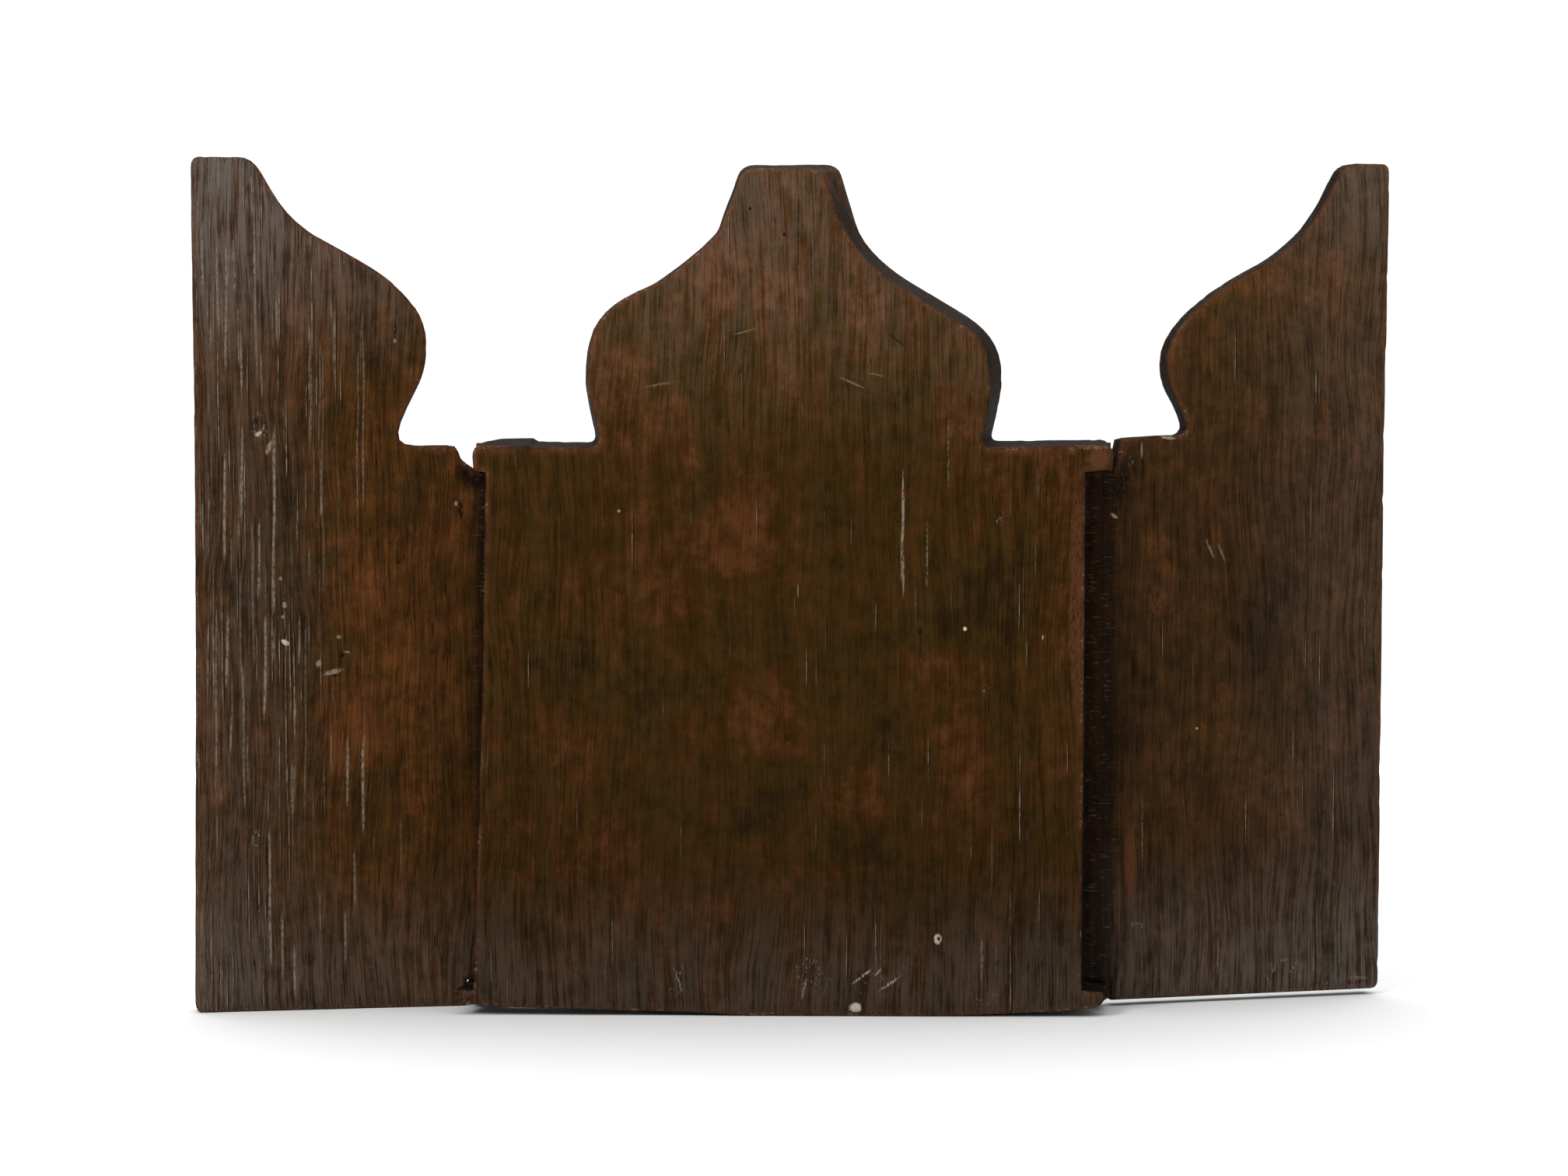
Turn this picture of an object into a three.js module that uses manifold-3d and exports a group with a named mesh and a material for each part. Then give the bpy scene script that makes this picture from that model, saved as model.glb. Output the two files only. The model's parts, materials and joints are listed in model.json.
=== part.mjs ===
// Wooden triptych altarpiece: a thick central panel with a keel-shaped dome, and two thinner
// wings, each with half of such a dome, that turn on pegs between lugs at the panel's corners.
// Millimetres, +Z up. The plain back faces -Y, and the wings close over the front, at +Y.
// The origin is under the middle of the central panel, half way through its thickness.

import * as THREE from "three";
import { mergeVertices } from "three/addons/utils/BufferGeometryUtils.js";
import Module from "manifold-3d";

const wasm = await Module();
wasm.setup();

// ---------------------------------------------------------------- driving dimensions

const PANEL_THICKNESS = 22;
const WING_THICKNESS = 10;
const WING_CLEARANCE = 1; // between the panel's front and a closed wing
const HINGE_Y = PANEL_THICKNESS / 2 + WING_CLEARANCE + WING_THICKNESS / 2;
const LEFT_HINGE_X = -106.3;
const RIGHT_HINGE_X = 111.1;
const LEFT_WING_OPEN = 11; // degrees past flat, towards the back
const RIGHT_WING_OPEN = -17; // degrees short of flat, towards the front

const PEG_RADIUS = 1.8;
const PEG_PLAY = 0.35;
const PEG_END_PLAY = 0.5;
const KNUCKLE = { bottom: 9.3, top: 192.6, pegBottom: 6.1, pegTop: 197.9 }; // heights, both wings

const CURVE_STEPS = 10; // stretches along each curve of a dome
const CORNER_STEPS = 4; // stretches round a small corner
const ROUND_STEPS = 24; // sides of a knuckle, a peg or a lug's nose
const EDGE_WEAR = [
  { depth: 0, inset: 1.2 },
  { depth: 0.4, inset: 0.4 },
  { depth: 1.2, inset: 0 },
];

// The panel was sawn at a slant, so that its back face is smaller than its front. Each face is
// two sides, given as [distance out from the middle, height] from the sole up to the cap.
// A flank runs down the dome from the cap: lean is its steepest outward slope in degrees below
// level, footLean is its undercut above the shoulder, and sweep sets how full its curves are.
const PANEL_BACK_FACE = {
  top: 299.1,
  left: {
    sole: [[14, 0], [34, 1.2], [68, 2], [101, 3], [112, 4]],
    lowerLug: [[115.6, 4.8], [117.6, 7.2], [117.2, 9]],
    edge: [[110.6, 9.1], [107, 111], [105.5, 192.4]],
    upperLug: { underside: [109.8, 193.4], end: [110.2, 198], corner: [110.2, 202.4], top: [106, 202.2] },
    shoulder: [[101, 201.7], [90, 201.7], [88, 201.6], [70, 201.5]],
    flank: {
      foot: [65.5, 206.5], bulge: [69.5, 225.2], mid: [45.2, 259.1], neck: [22.8, 277.6], cap: [15.9, 296],
      lean: 23.9, footLean: 8, sweep: [0.14, 0.48, 0.3],
    },
  },
  right: {
    sole: [[55, 0], [80, 1.1], [101, 2], [109.5, 3.1]],
    lowerLug: [[112.4, 4.6], [113.9, 6.6], [112.6, 8.9]],
    edge: [[105, 9.6], [105.6, 111], [105.9, 192.8]],
    upperLug: { underside: [115.3, 193.3], end: [115.9, 198], corner: [116, 202.6], top: [111.8, 202.4] },
    shoulder: [[102, 202], [74.5, 201.5]],
    flank: {
      foot: [69.6, 206], bulge: [72.1, 226.3], mid: [52.2, 250.2], neck: [19, 282.4], cap: [13.8, 296],
      lean: 32.5, footLean: 8, sweep: [0.39, 0.49, 0.5],
    },
  },
};
const PANEL_FRONT_FACE = {
  top: 301.7,
  left: {
    sole: [[14, 0], [34, 1.2], [68, 2], [101, 3.1], [109.5, 4]],
    lowerLug: [[112, 5], [114, 7.2], [113.8, 8.8]],
    edge: [[109.2, 9], [107.4, 111], [105.7, 192.4]],
    upperLug: { underside: [109.8, 193.4], end: [110.3, 199], corner: [110.3, 203], top: [106, 203.6] },
    shoulder: [[101, 204.5], [90, 204.7], [88, 203.5], [72.5, 203.1]],
    flank: {
      foot: [68.3, 206.5], bulge: [71.6, 224.3], mid: [47.6, 259.2], neck: [24, 279], cap: [17, 298],
      lean: 23.3, footLean: 11.8, sweep: [0.14, 0.49, 0.2],
    },
  },
  right: {
    sole: [[55, 0], [80, 1.1], [101, 2], [109.5, 3.1]],
    lowerLug: [[112.6, 4.6], [114.6, 6.8], [114.2, 8.9]],
    edge: [[107.3, 9.4], [106.5, 111], [106.2, 192.8]],
    upperLug: { underside: [115.3, 193.3], end: [115.9, 198.6], corner: [116, 204], top: [112, 204.1] },
    shoulder: [[102, 204], [78, 203.7]],
    flank: {
      foot: [74, 206.5], bulge: [77.4, 225.6], mid: [53.8, 254.6], neck: [25.3, 281], cap: [20.2, 298],
      lean: 30.9, footLean: 16.6, sweep: [0.33, 0.44, 0.28],
    },
  },
};

// A lug's nose reaches forward from the panel and holds the peg: its radius about the hinge
// line, and its lowest and highest points.
const LUG_NOSES = [
  { hingeX: LEFT_HINGE_X, radius: 8.2, bottom: 3.2, top: 9, holeFromBelow: false },
  { hingeX: LEFT_HINGE_X, radius: 4, bottom: 192.9, top: 202.6, holeFromBelow: true },
  { hingeX: RIGHT_HINGE_X, radius: 4, bottom: 3.6, top: 8.9, holeFromBelow: false },
  { hingeX: RIGHT_HINGE_X, radius: 4.7, bottom: 193, top: 202.8, holeFromBelow: true },
];
const NOSE_ROOT_Y = 5; // where a nose's solid starts, inside the panel

// A wing is given by [distance from the hinge line, height]. Its flank is measured from the
// straight outer edge, which meets the other wing's when both are closed.
const LEFT_WING = {
  hingeX: LEFT_HINGE_X,
  outerEdge: [[106.2, 0], [105.2, 110], [104.9, 205], [105.5, 285]],
  top: 303.8,
  lowerNotch: [[5.4, 9.4], [9.6, 9.3], [9.8, 0]],
  upperNotch: [[12.9, 201.5], [11.9, 200.1], [10.4, 197.2], [8.8, 195.4], [6.7, 194], [4.9, 192.6]],
  shoulder: [[24, 201.8], [15.6, 201.9]],
  footRound: 8.5,
  outerWidth: 105.5,
  flank: {
    foot: [73.6, 210], bulge: [82.8, 238.2], mid: [63, 265.2], neck: [27.8, 292.8], cap: [24.4, 298.6],
    lean: 32.8, footLean: 22, sweep: [0.44, 0.36, 0.46],
  },
};
const RIGHT_WING = {
  hingeX: RIGHT_HINGE_X,
  outerEdge: [[109.4, 2.2], [109.7, 110], [110.3, 205], [111.5, 285]],
  top: 303.6,
  lowerNotch: [[4.5, 9.3], [4.9, 2.2]],
  upperNotch: [[8.1, 203.8], [7.4, 200.8], [6.2, 197.8], [5.6, 194.6], [4.9, 192.6]],
  shoulder: [[23.5, 205.3], [11, 204.5]],
  footRound: 8,
  outerWidth: 111.5,
  flank: {
    foot: [78.5, 209.5], bulge: [86.3, 230.8], mid: [52.4, 264.9], neck: [22.4, 294.4], cap: [20.4, 298.6],
    lean: 26.4, footLean: 17, sweep: [0.37, 0.31, 0.45],
  },
};
const CAP_ROUND = 5; // how far a cap's corner cuts into its flat top
const PANEL_FOOT_ROUND = 3; // how far the panel's flanks run out along its shoulders
const WING_CORNER = 3.2; // worn corners at a wing's straight outer edge

// ---------------------------------------------------------------- outlines

const point = ([out, height]) => new THREE.Vector2(out, height);

// A unit direction, in degrees below level: 0 points outwards, 90 straight down.
function heading(degrees) {
  const angle = THREE.MathUtils.degToRad(degrees);
  return new THREE.Vector2(Math.cos(angle), -Math.sin(angle));
}

function sweptCurve(from, fromHeading, to, toHeading, sweep) {
  const handle = sweep * from.distanceTo(to);
  const leave = from.clone().addScaledVector(fromHeading, handle);
  const arrive = to.clone().addScaledVector(toHeading, -handle);
  return new THREE.CubicBezierCurve(from, leave, arrive, to).getPoints(CURVE_STEPS);
}

function roundedCorner(from, corner, to) {
  return new THREE.QuadraticBezierCurve(from, corner, to).getPoints(CORNER_STEPS);
}

// The curve of a keel dome from its cap down to its foot.
function flankCurve({ foot, bulge, mid, neck, cap, lean, footLean, sweep }) {
  const [footAt, bulgeAt, midAt, neckAt, capAt] = [foot, bulge, mid, neck, cap].map(point);
  const capHeading = neckAt.clone().sub(capAt).normalize();
  const hollow = sweptCurve(neckAt, capHeading, midAt, heading(lean), sweep[0]);
  const swell = sweptCurve(midAt, heading(lean), bulgeAt, heading(90), sweep[1]);
  const undercut = sweptCurve(bulgeAt, heading(90), footAt, heading(90 + footLean), sweep[2]);
  return [capAt, ...hollow, ...swell.slice(1), ...undercut.slice(1)];
}

// The rounded corner between a flank and the flat top of the cap.
function capCorner(capAt, neckAt, top) {
  const slope = (capAt.x - neckAt.x) / (capAt.y - neckAt.y);
  const corner = new THREE.Vector2(capAt.x + slope * (top - capAt.y), top);
  return roundedCorner(new THREE.Vector2(corner.x - CAP_ROUND, top), corner, capAt);
}

// The rounded inner corner between a flank's foot and the shoulder.
function footCorner(footAt, footLean, shoulderHeight, footRound) {
  const drop = footAt.y - shoulderHeight;
  const undercut = drop * Math.tan(THREE.MathUtils.degToRad(footLean));
  const corner = new THREE.Vector2(footAt.x - undercut, shoulderHeight);
  return roundedCorner(footAt, corner, new THREE.Vector2(corner.x + footRound, shoulderHeight));
}

// One side of the central panel, from the sole up and round to the top of the cap.
function panelSide({ sole, lowerLug, edge, upperLug, shoulder, flank }, top) {
  const lugEnd = roundedCorner(point(upperLug.end), point(upperLug.corner), point(upperLug.top));
  const shoulderHeight = shoulder[shoulder.length - 1][1];
  const foot = footCorner(point(flank.foot), flank.footLean, shoulderHeight, PANEL_FOOT_ROUND);
  return [
    ...[...sole, ...lowerLug, ...edge, upperLug.underside].map(point),
    ...lugEnd,
    ...shoulder.slice(0, -1).map(point),
    ...foot.reverse().slice(0, -1),
    ...flankCurve(flank).reverse().slice(0, -1),
    ...capCorner(point(flank.cap), point(flank.neck), top).reverse(),
  ];
}

// A face of the central panel, anticlockwise as seen from the back.
function panelOutline({ top, left, right }) {
  const leftSide = panelSide(left, top).map(({ x, y }) => new THREE.Vector2(-x, y));
  return [...panelSide(right, top), ...leftSide.reverse()];
}

// A wing, anticlockwise with its hinge line at 0 and its outer edge at +X.
function wingOutline({ outerEdge, top, lowerNotch, upperNotch, shoulder, footRound, outerWidth, flank }) {
  const fromHinge = ({ x, y }) => new THREE.Vector2(outerWidth - x, y);
  const [lowX, lowZ] = outerEdge[0];
  const lowerCorner = roundedCorner(
    new THREE.Vector2(lowX - WING_CORNER, lowZ),
    new THREE.Vector2(lowX, lowZ),
    new THREE.Vector2(lowX, lowZ + WING_CORNER),
  );
  const upperCorner = roundedCorner(
    new THREE.Vector2(outerWidth, top - WING_CORNER),
    new THREE.Vector2(outerWidth, top),
    new THREE.Vector2(outerWidth - WING_CORNER, top),
  );
  const dome = [
    ...capCorner(point(flank.cap), point(flank.neck), top),
    ...flankCurve(flank).slice(1, -1),
    ...footCorner(point(flank.foot), flank.footLean, shoulder[0][1], footRound),
  ].map(fromHinge);
  return [
    ...lowerCorner,
    ...outerEdge.slice(1).map(point),
    ...upperCorner,
    ...dome,
    ...[...shoulder, ...upperNotch, [0, KNUCKLE.top], [0, KNUCKLE.bottom], ...lowerNotch].map(point),
  ];
}

// ---------------------------------------------------------------- solids

// Moves every point of an anticlockwise outline inwards, square to its two neighbours.
function insetOutline(outline, distance) {
  return outline.map((here, i) => {
    const before = outline[(i + outline.length - 1) % outline.length];
    const after = outline[(i + 1) % outline.length];
    const along = after.clone().sub(before).normalize();
    return new THREE.Vector2(here.x - along.y * distance, here.y + along.x * distance);
  });
}

// A board between two outlines with the same number of points, with worn edges on both faces.
function boardGeometry(backOutline, frontOutline, thickness) {
  const levels = [
    ...EDGE_WEAR.map(({ depth, inset }) => ({ across: depth, inset })),
    ...EDGE_WEAR.map(({ depth, inset }) => ({ across: thickness - depth, inset })).reverse(),
  ];
  const rings = levels.map(({ across, inset }) => {
    const blended = backOutline.map((here, i) => here.clone().lerp(frontOutline[i], across / thickness));
    return insetOutline(blended, inset);
  });
  const count = backOutline.length;
  const positions = rings.flatMap((ring, k) =>
    ring.flatMap(({ x, y }) => [x, levels[k].across - thickness / 2, y]),
  );
  const triangles = [];
  for (let k = 0; k + 1 < rings.length; k += 1) {
    for (let i = 0; i < count; i += 1) {
      const j = (i + 1) % count;
      const [a, b] = [k * count + i, k * count + j];
      triangles.push(a, a + count, b, b, a + count, b + count);
    }
  }
  const lastRing = (rings.length - 1) * count;
  THREE.ShapeUtils.triangulateShape(rings[0], []).forEach(([a, b, c]) => triangles.push(a, b, c));
  THREE.ShapeUtils.triangulateShape(rings[rings.length - 1], []).forEach(([a, b, c]) =>
    triangles.push(lastRing + a, lastRing + c, lastRing + b),
  );
  const geometry = new THREE.BufferGeometry();
  geometry.setAttribute("position", new THREE.Float32BufferAttribute(positions, 3));
  geometry.setIndex(triangles);
  return geometry;
}

function toSolid(geometry) {
  const bare = geometry.clone();
  bare.deleteAttribute("normal");
  bare.deleteAttribute("uv");
  const merged = mergeVertices(bare, 1e-4);
  return new wasm.Manifold(
    new wasm.Mesh({
      numProp: 3,
      vertProperties: new Float32Array(merged.attributes.position.array),
      triVerts: new Uint32Array(merged.index.array),
    }),
  );
}

function toGeometry(solid) {
  const { vertProperties, triVerts } = solid.getMesh();
  const geometry = new THREE.BufferGeometry();
  geometry.setAttribute("position", new THREE.Float32BufferAttribute(vertProperties, 3));
  geometry.setIndex(new THREE.Uint32BufferAttribute(triVerts, 1));
  geometry.computeVertexNormals();
  return geometry;
}

// An upright round bar between two heights.
function bar(radius, bottom, top, x = 0, y = 0) {
  const geometry = new THREE.CylinderGeometry(radius, radius, top - bottom, ROUND_STEPS);
  geometry.rotateX(Math.PI / 2);
  geometry.translate(x, y, (bottom + top) / 2);
  return toSolid(geometry);
}

// A lug's nose: a straight stem from inside the panel to a round end about the hinge line.
function lugNose({ hingeX, radius, bottom, top }) {
  const stem = new THREE.BoxGeometry(2 * radius, HINGE_Y - NOSE_ROOT_Y, top - bottom);
  stem.translate(hingeX, (HINGE_Y + NOSE_ROOT_Y) / 2, (bottom + top) / 2);
  return toSolid(stem).add(bar(radius, bottom, top, hingeX, HINGE_Y));
}

// The blind hole that a wing's peg turns in.
function pegHole({ hingeX, top, bottom, holeFromBelow }) {
  const hole = holeFromBelow
    ? [bottom - PEG_END_PLAY, KNUCKLE.pegTop + PEG_END_PLAY]
    : [KNUCKLE.pegBottom - PEG_END_PLAY, top + PEG_END_PLAY];
  return bar(PEG_RADIUS + PEG_PLAY, hole[0], hole[1], hingeX, HINGE_Y);
}

function centralPanel() {
  const board = boardGeometry(
    panelOutline(PANEL_BACK_FACE),
    panelOutline(PANEL_FRONT_FACE),
    PANEL_THICKNESS,
  );
  const withNoses = LUG_NOSES.reduce((solid, nose) => solid.add(lugNose(nose)), toSolid(board));
  return LUG_NOSES.reduce((solid, nose) => solid.subtract(pegHole(nose)), withNoses);
}

// A wing about its own hinge line. side is 1 for a wing that reaches to +X and -1 to -X.
function wingSolid(wing, side) {
  const outline = wingOutline(wing);
  const sided = side > 0 ? outline : outline.map(({ x, y }) => new THREE.Vector2(-x, y)).reverse();
  return toSolid(boardGeometry(sided, sided, WING_THICKNESS))
    .add(bar(WING_THICKNESS / 2, KNUCKLE.bottom, KNUCKLE.top))
    .add(bar(PEG_RADIUS, KNUCKLE.pegBottom, KNUCKLE.pegTop));
}

// ---------------------------------------------------------------- sub-parts

function woodenMesh(name, solid, color) {
  const material = new THREE.MeshStandardMaterial({ color, roughness: 0.55, metalness: 0 });
  const mesh = new THREE.Mesh(toGeometry(solid), material);
  mesh.name = name;
  return mesh;
}

function hungWing(name, wing, side, openDegrees, color) {
  const hinge = new THREE.Group();
  hinge.position.set(wing.hingeX, HINGE_Y, 0);
  hinge.rotation.z = -side * THREE.MathUtils.degToRad(openDegrees);
  hinge.add(woodenMesh(name, wingSolid(wing, side), color));
  return hinge;
}

const triptych = new THREE.Group();
triptych.add(woodenMesh("central_panel", centralPanel(), 0x3d2917));
triptych.add(hungWing("left_wing", LEFT_WING, -1, LEFT_WING_OPEN, 0x432a19));
triptych.add(hungWing("right_wing", RIGHT_WING, 1, RIGHT_WING_OPEN, 0x38261a));

export default triptych;
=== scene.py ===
"""Looks of an old wooden triptych, seen from its plain back: a thick panel and two thin wings."""

import json
import math

import bpy
import numpy as np
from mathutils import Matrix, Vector, kdtree


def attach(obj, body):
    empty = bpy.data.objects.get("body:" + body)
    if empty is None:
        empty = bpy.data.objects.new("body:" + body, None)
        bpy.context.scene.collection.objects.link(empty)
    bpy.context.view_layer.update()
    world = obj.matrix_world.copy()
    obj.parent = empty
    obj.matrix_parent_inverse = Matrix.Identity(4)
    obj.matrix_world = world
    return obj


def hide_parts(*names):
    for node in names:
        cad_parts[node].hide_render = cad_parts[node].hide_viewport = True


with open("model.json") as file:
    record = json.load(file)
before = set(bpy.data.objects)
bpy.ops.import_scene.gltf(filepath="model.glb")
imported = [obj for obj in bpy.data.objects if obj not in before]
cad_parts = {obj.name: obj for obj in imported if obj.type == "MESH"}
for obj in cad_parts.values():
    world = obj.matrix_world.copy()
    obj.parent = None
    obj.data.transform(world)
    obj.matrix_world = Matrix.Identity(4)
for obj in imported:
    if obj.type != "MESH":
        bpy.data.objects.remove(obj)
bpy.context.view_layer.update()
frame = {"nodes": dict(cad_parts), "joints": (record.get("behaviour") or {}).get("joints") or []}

MM = 0.001
UP = Vector((0, 0, 1))
HINGES = {joint["name"]: Vector(joint["pos_m"]) for joint in frame["joints"]}

# How finely the boards are sliced, in mm. Slices miss a board's own edges by part of a step.
COARSER = 1.0
THROUGH_STEP = 2.4
UP_STEP = 2.7 * COARSER
OFF_GRID = 0.37
MERGE_DISTANCE = 0.002 * MM
FLAT_ANGLE = math.radians(0.2)
SHARP_CORNER = math.radians(50)

# Depths of the wear that is cut into the boards, in mm.
FINE_FIBRE, BROAD_FIBRE = 0.16, 0.22
PLANE_MARKS, SWELL = 0.22, 0.3
OPEN_GRAIN = 0.4
TOOL_MARKS = 0.16
RIM_NICKS, RIM_WAVES = 0.35, 0.15
DEEPEST_CUT = 1.3

# Other measures of the wear, in mm.
BOARD_HEIGHT = 300.0
GROOVE_REACH, GROOVE_TAPER = 4.0, 9.0
RIM_WEAR_WIDTH, RIM_PAINT_WIDTH = 2.2, 1.6

# Camera: a long lens that looks a little down at the boards. Places are in metres.
CAMERA_PLACE = (0.0277, -1.4088, 0.2252)
CAMERA_PITCH = 3.0  # degrees down
CAMERA_TURN = 1.14  # degrees to the left
CAMERA_LENS = 91.3
CAMERA_SENSOR = 36.0
CAMERA_REACH = 20.0  # metres

# Floor and lights.
FLOOR_RADIUS, FLOOR_RINGS = 60.0, (40.0, 15.0, 4.0)
PAPER_WHITE = (0.88, 0.88, 0.88)
CEILING_POWER = 2.75
CEILING_SPREAD = 90  # degrees
CEILING_LEAN = -18  # degrees, towards the camera
KEY_POWER = 24  # watts
WORLD_ON_OBJECTS, WORLD_SEEN = 0.385, 1.05

# ------------------------------------------------------------------ fields on a board, in mm


def smoothstep(low, high, value):
    t = np.clip((value - low) / (high - low), 0.0, 1.0)
    return t * t * (3.0 - 2.0 * t)


def soft_noise(p, q, seed):
    """Smooth random values from 0 to 1, one for each whole step of p and q."""
    table = np.random.RandomState(seed).rand(256, 256)
    p0, q0 = np.floor(p).astype(int), np.floor(q).astype(int)
    fp, fq = p - p0, q - q0
    fp, fq = fp * fp * (3 - 2 * fp), fq * fq * (3 - 2 * fq)
    a, b = table[p0 % 256, q0 % 256], table[(p0 + 1) % 256, q0 % 256]
    c, d = table[p0 % 256, (q0 + 1) % 256], table[(p0 + 1) % 256, (q0 + 1) % 256]
    return (a * (1 - fp) + b * fp) * (1 - fq) + (c * (1 - fp) + d * fp) * fq


def upright_fibres(s, v, width, length, seed):
    """Noise drawn out along the grain, with its ends staggered from fibre to fibre."""
    stagger = 40.0 * soft_noise(s / (3.0 * width), np.zeros_like(s), seed + 1)
    return soft_noise(s / width, v / length + stagger / length, seed)


# ------------------------------------------------------------------ the boards' shapes


def only(piece):
    """Selects one object alone and makes it active."""
    bpy.ops.object.select_all(action="DESELECT")
    piece.hide_set(False)
    piece.select_set(True)
    bpy.context.view_layer.objects.active = piece


def merged_copy(cad_name, name):
    """A copy of a CAD board as clean flat faces."""
    piece = frame["nodes"][cad_name].copy()
    piece.data = frame["nodes"][cad_name].data.copy()
    piece.name = piece.data.name = name
    piece.parent = None
    for key in [key for key in piece.keys() if key.startswith("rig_")]:
        del piece[key]
    piece.data.materials.clear()
    bpy.context.scene.collection.objects.link(piece)
    only(piece)
    bpy.ops.object.mode_set(mode="EDIT")
    bpy.ops.mesh.select_all(action="SELECT")
    bpy.ops.mesh.remove_doubles(threshold=MERGE_DISTANCE)
    bpy.ops.mesh.dissolve_limited(angle_limit=FLAT_ANGLE)
    bpy.ops.object.mode_set(mode="OBJECT")
    return piece


def board_turn(piece):
    """How far a board's plain back is turned about +Z from facing along -Y."""
    back = max((f for f in piece.data.polygons if f.normal.y < 0), key=lambda f: f.area)
    return math.atan2(back.normal.x, -back.normal.y)


def comb(piece, origin, direction, first, last, step):
    """Slices the whole board by evenly spaced planes, square to a direction."""
    only(piece)
    bpy.ops.object.mode_set(mode="EDIT")
    for k in range(int((last - first) / step) + 1):
        place = origin + direction * ((first + (k + OFF_GRID) * step) * MM)
        bpy.ops.mesh.select_all(action="SELECT")
        bpy.ops.mesh.bisect(plane_co=place, plane_no=direction)
    bpy.ops.object.mode_set(mode="OBJECT")


class Board:
    """A board's mesh with its own axes in mm: s across, v up and w from its back to its front."""

    def __init__(self, cad_name, name, hinge, across_step):
        self.piece = merged_copy(cad_name, name)
        self.turn = board_turn(self.piece)
        self.hinged = bool(hinge)
        pin = HINGES[hinge] if hinge else Vector((0, 0, 0))
        self.origin = Vector((pin.x, pin.y, 0))
        self.across = Vector((math.cos(self.turn), math.sin(self.turn), 0))
        self.away = Vector((-math.sin(self.turn), math.cos(self.turn), 0))
        s, v, w = self.local(self.points())
        comb(self.piece, self.origin, self.away, w.min(), w.max(), THROUGH_STEP)
        comb(self.piece, self.origin, UP, v.min(), v.max(), UP_STEP)
        comb(self.piece, self.origin, self.across, s.min(), s.max(), across_step * COARSER)

    def points(self):
        mesh = self.piece.data
        co = np.empty(len(mesh.vertices) * 3)
        mesh.vertices.foreach_get("co", co)
        return co.reshape(-1, 3)

    def normals(self):
        mesh = self.piece.data
        normal = np.empty(len(mesh.vertices) * 3)
        mesh.vertex_normals.foreach_get("vector", normal)
        return normal.reshape(-1, 3)

    def local(self, points):
        moved = (points - np.array(self.origin)) / MM
        return moved @ np.array(self.across), moved[:, 2], moved @ np.array(self.away)

    def write(self, points):
        self.piece.data.vertices.foreach_set("co", points.ravel())
        self.piece.data.update()

    def paint(self, name, values):
        layer = self.piece.data.attributes.new(name, "FLOAT", "POINT")
        layer.data.foreach_set("value", np.clip(values, 0, 1).astype(np.float32))


def rim_distance(points, facing):
    """Distance in mm from every point to the nearest rim, where a face turns into a side."""
    on_rim = np.flatnonzero((np.abs(facing) > 0.25) & (np.abs(facing) < 0.93))
    tree = kdtree.KDTree(len(on_rim))
    for k, index in enumerate(on_rim):
        tree.insert(points[index], k)
    tree.balance()
    return np.array([tree.find(p)[2] for p in points]) / MM


def groove_depths(s, v, grooves):
    """How deep the open grain is cut at each point, from 0 to 1. The deepest groove counts.

    Each groove is (s, lowest v, highest v, half width, depth).
    """
    deepest = np.zeros_like(s)
    for place, low, high, width, depth in grooves:
        near = np.abs(s - place) < GROOVE_REACH
        height = v[near]
        drift = 0.35 * np.sin(height / 23.0 + place) + 0.15 * np.sin(height / 7.0 + 3 * place)
        across = np.exp(-(((s[near] - place - drift) / width) ** 2))
        begun = smoothstep(low, low + GROOVE_TAPER, height)
        along = begun * (1 - smoothstep(high - GROOVE_TAPER, high, height))
        deepest[near] = np.maximum(deepest[near], depth * across * along)
    return deepest


def scattered_grooves(count, first, last, seed, depth):
    """Open grain of random length, densest near its first side."""
    chance = np.random.RandomState(seed)
    grooves = []
    for _ in range(count):
        place = first + (last - first) * chance.rand() ** 1.5
        length = 18 + 85 * chance.rand() ** 2
        low = chance.rand() * (BOARD_HEIGHT - 0.5 * length) - 5
        width = 0.3 + 0.3 * chance.rand()
        grooves.append((place, low, low + length, width, depth * (0.4 + 0.6 * chance.rand())))
    return grooves


def in_oval(s, v, place_s, place_v, half_s, half_v, turn):
    """How far each point lies along and over a turned oval, in half sizes of the oval."""
    c, k = math.cos(math.radians(turn)), math.sin(math.radians(turn))
    along = ((s - place_s) * c + (v - place_v) * k) / half_s
    over = ((v - place_v) * c - (s - place_s) * k) / half_v
    return along, over


def dent_depth(s, v, dents):
    """Small hollows, each (s, v, half width, half height, turn in degrees, depth)."""
    total = np.zeros_like(s)
    for *oval, depth in dents:
        along, over = in_oval(s, v, *oval)
        total += depth * np.exp(-(along**2 + over**2))
    return total


def stain(board, seed, patches):
    """Paints warmer and darker areas, each (weight, (s, v), (half width, half height), turn)."""
    octaves = (1, 2, 4, 8, 16)
    sum_of_parts = 1.94
    raggedness = 2.2
    s, v, w = board.local(board.points())
    cloud = sum(soft_noise(s * k / 26, v * k / 34, seed + k) / k for k in octaves) / sum_of_parts
    total = np.zeros_like(s)
    for weight, place, half, turn in patches:
        along, over = in_oval(s, v, *place, *half, turn)
        inside = 1 - np.hypot(along, over) + raggedness * (cloud - 0.5)
        total += weight * smoothstep(0.0, 1.0, inside)
    board.paint("stain", 0.5 + 0.5 * np.where(w < 0, total, 0.0))


def narrow_notch(board, side, lip, top):
    """Leaves a thin lip on the front half of a wing's notch, so that no light passes the lug."""
    points = board.points()
    s, v, w = board.local(points)
    slack = 0.3
    front_half = w > 1.0
    moved = front_half & (v < top) & (s > side - slack) & (s < lip)
    board.write(points + np.outer(np.where(moved, lip - s, 0.0) * MM, np.array(board.across)))


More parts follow.
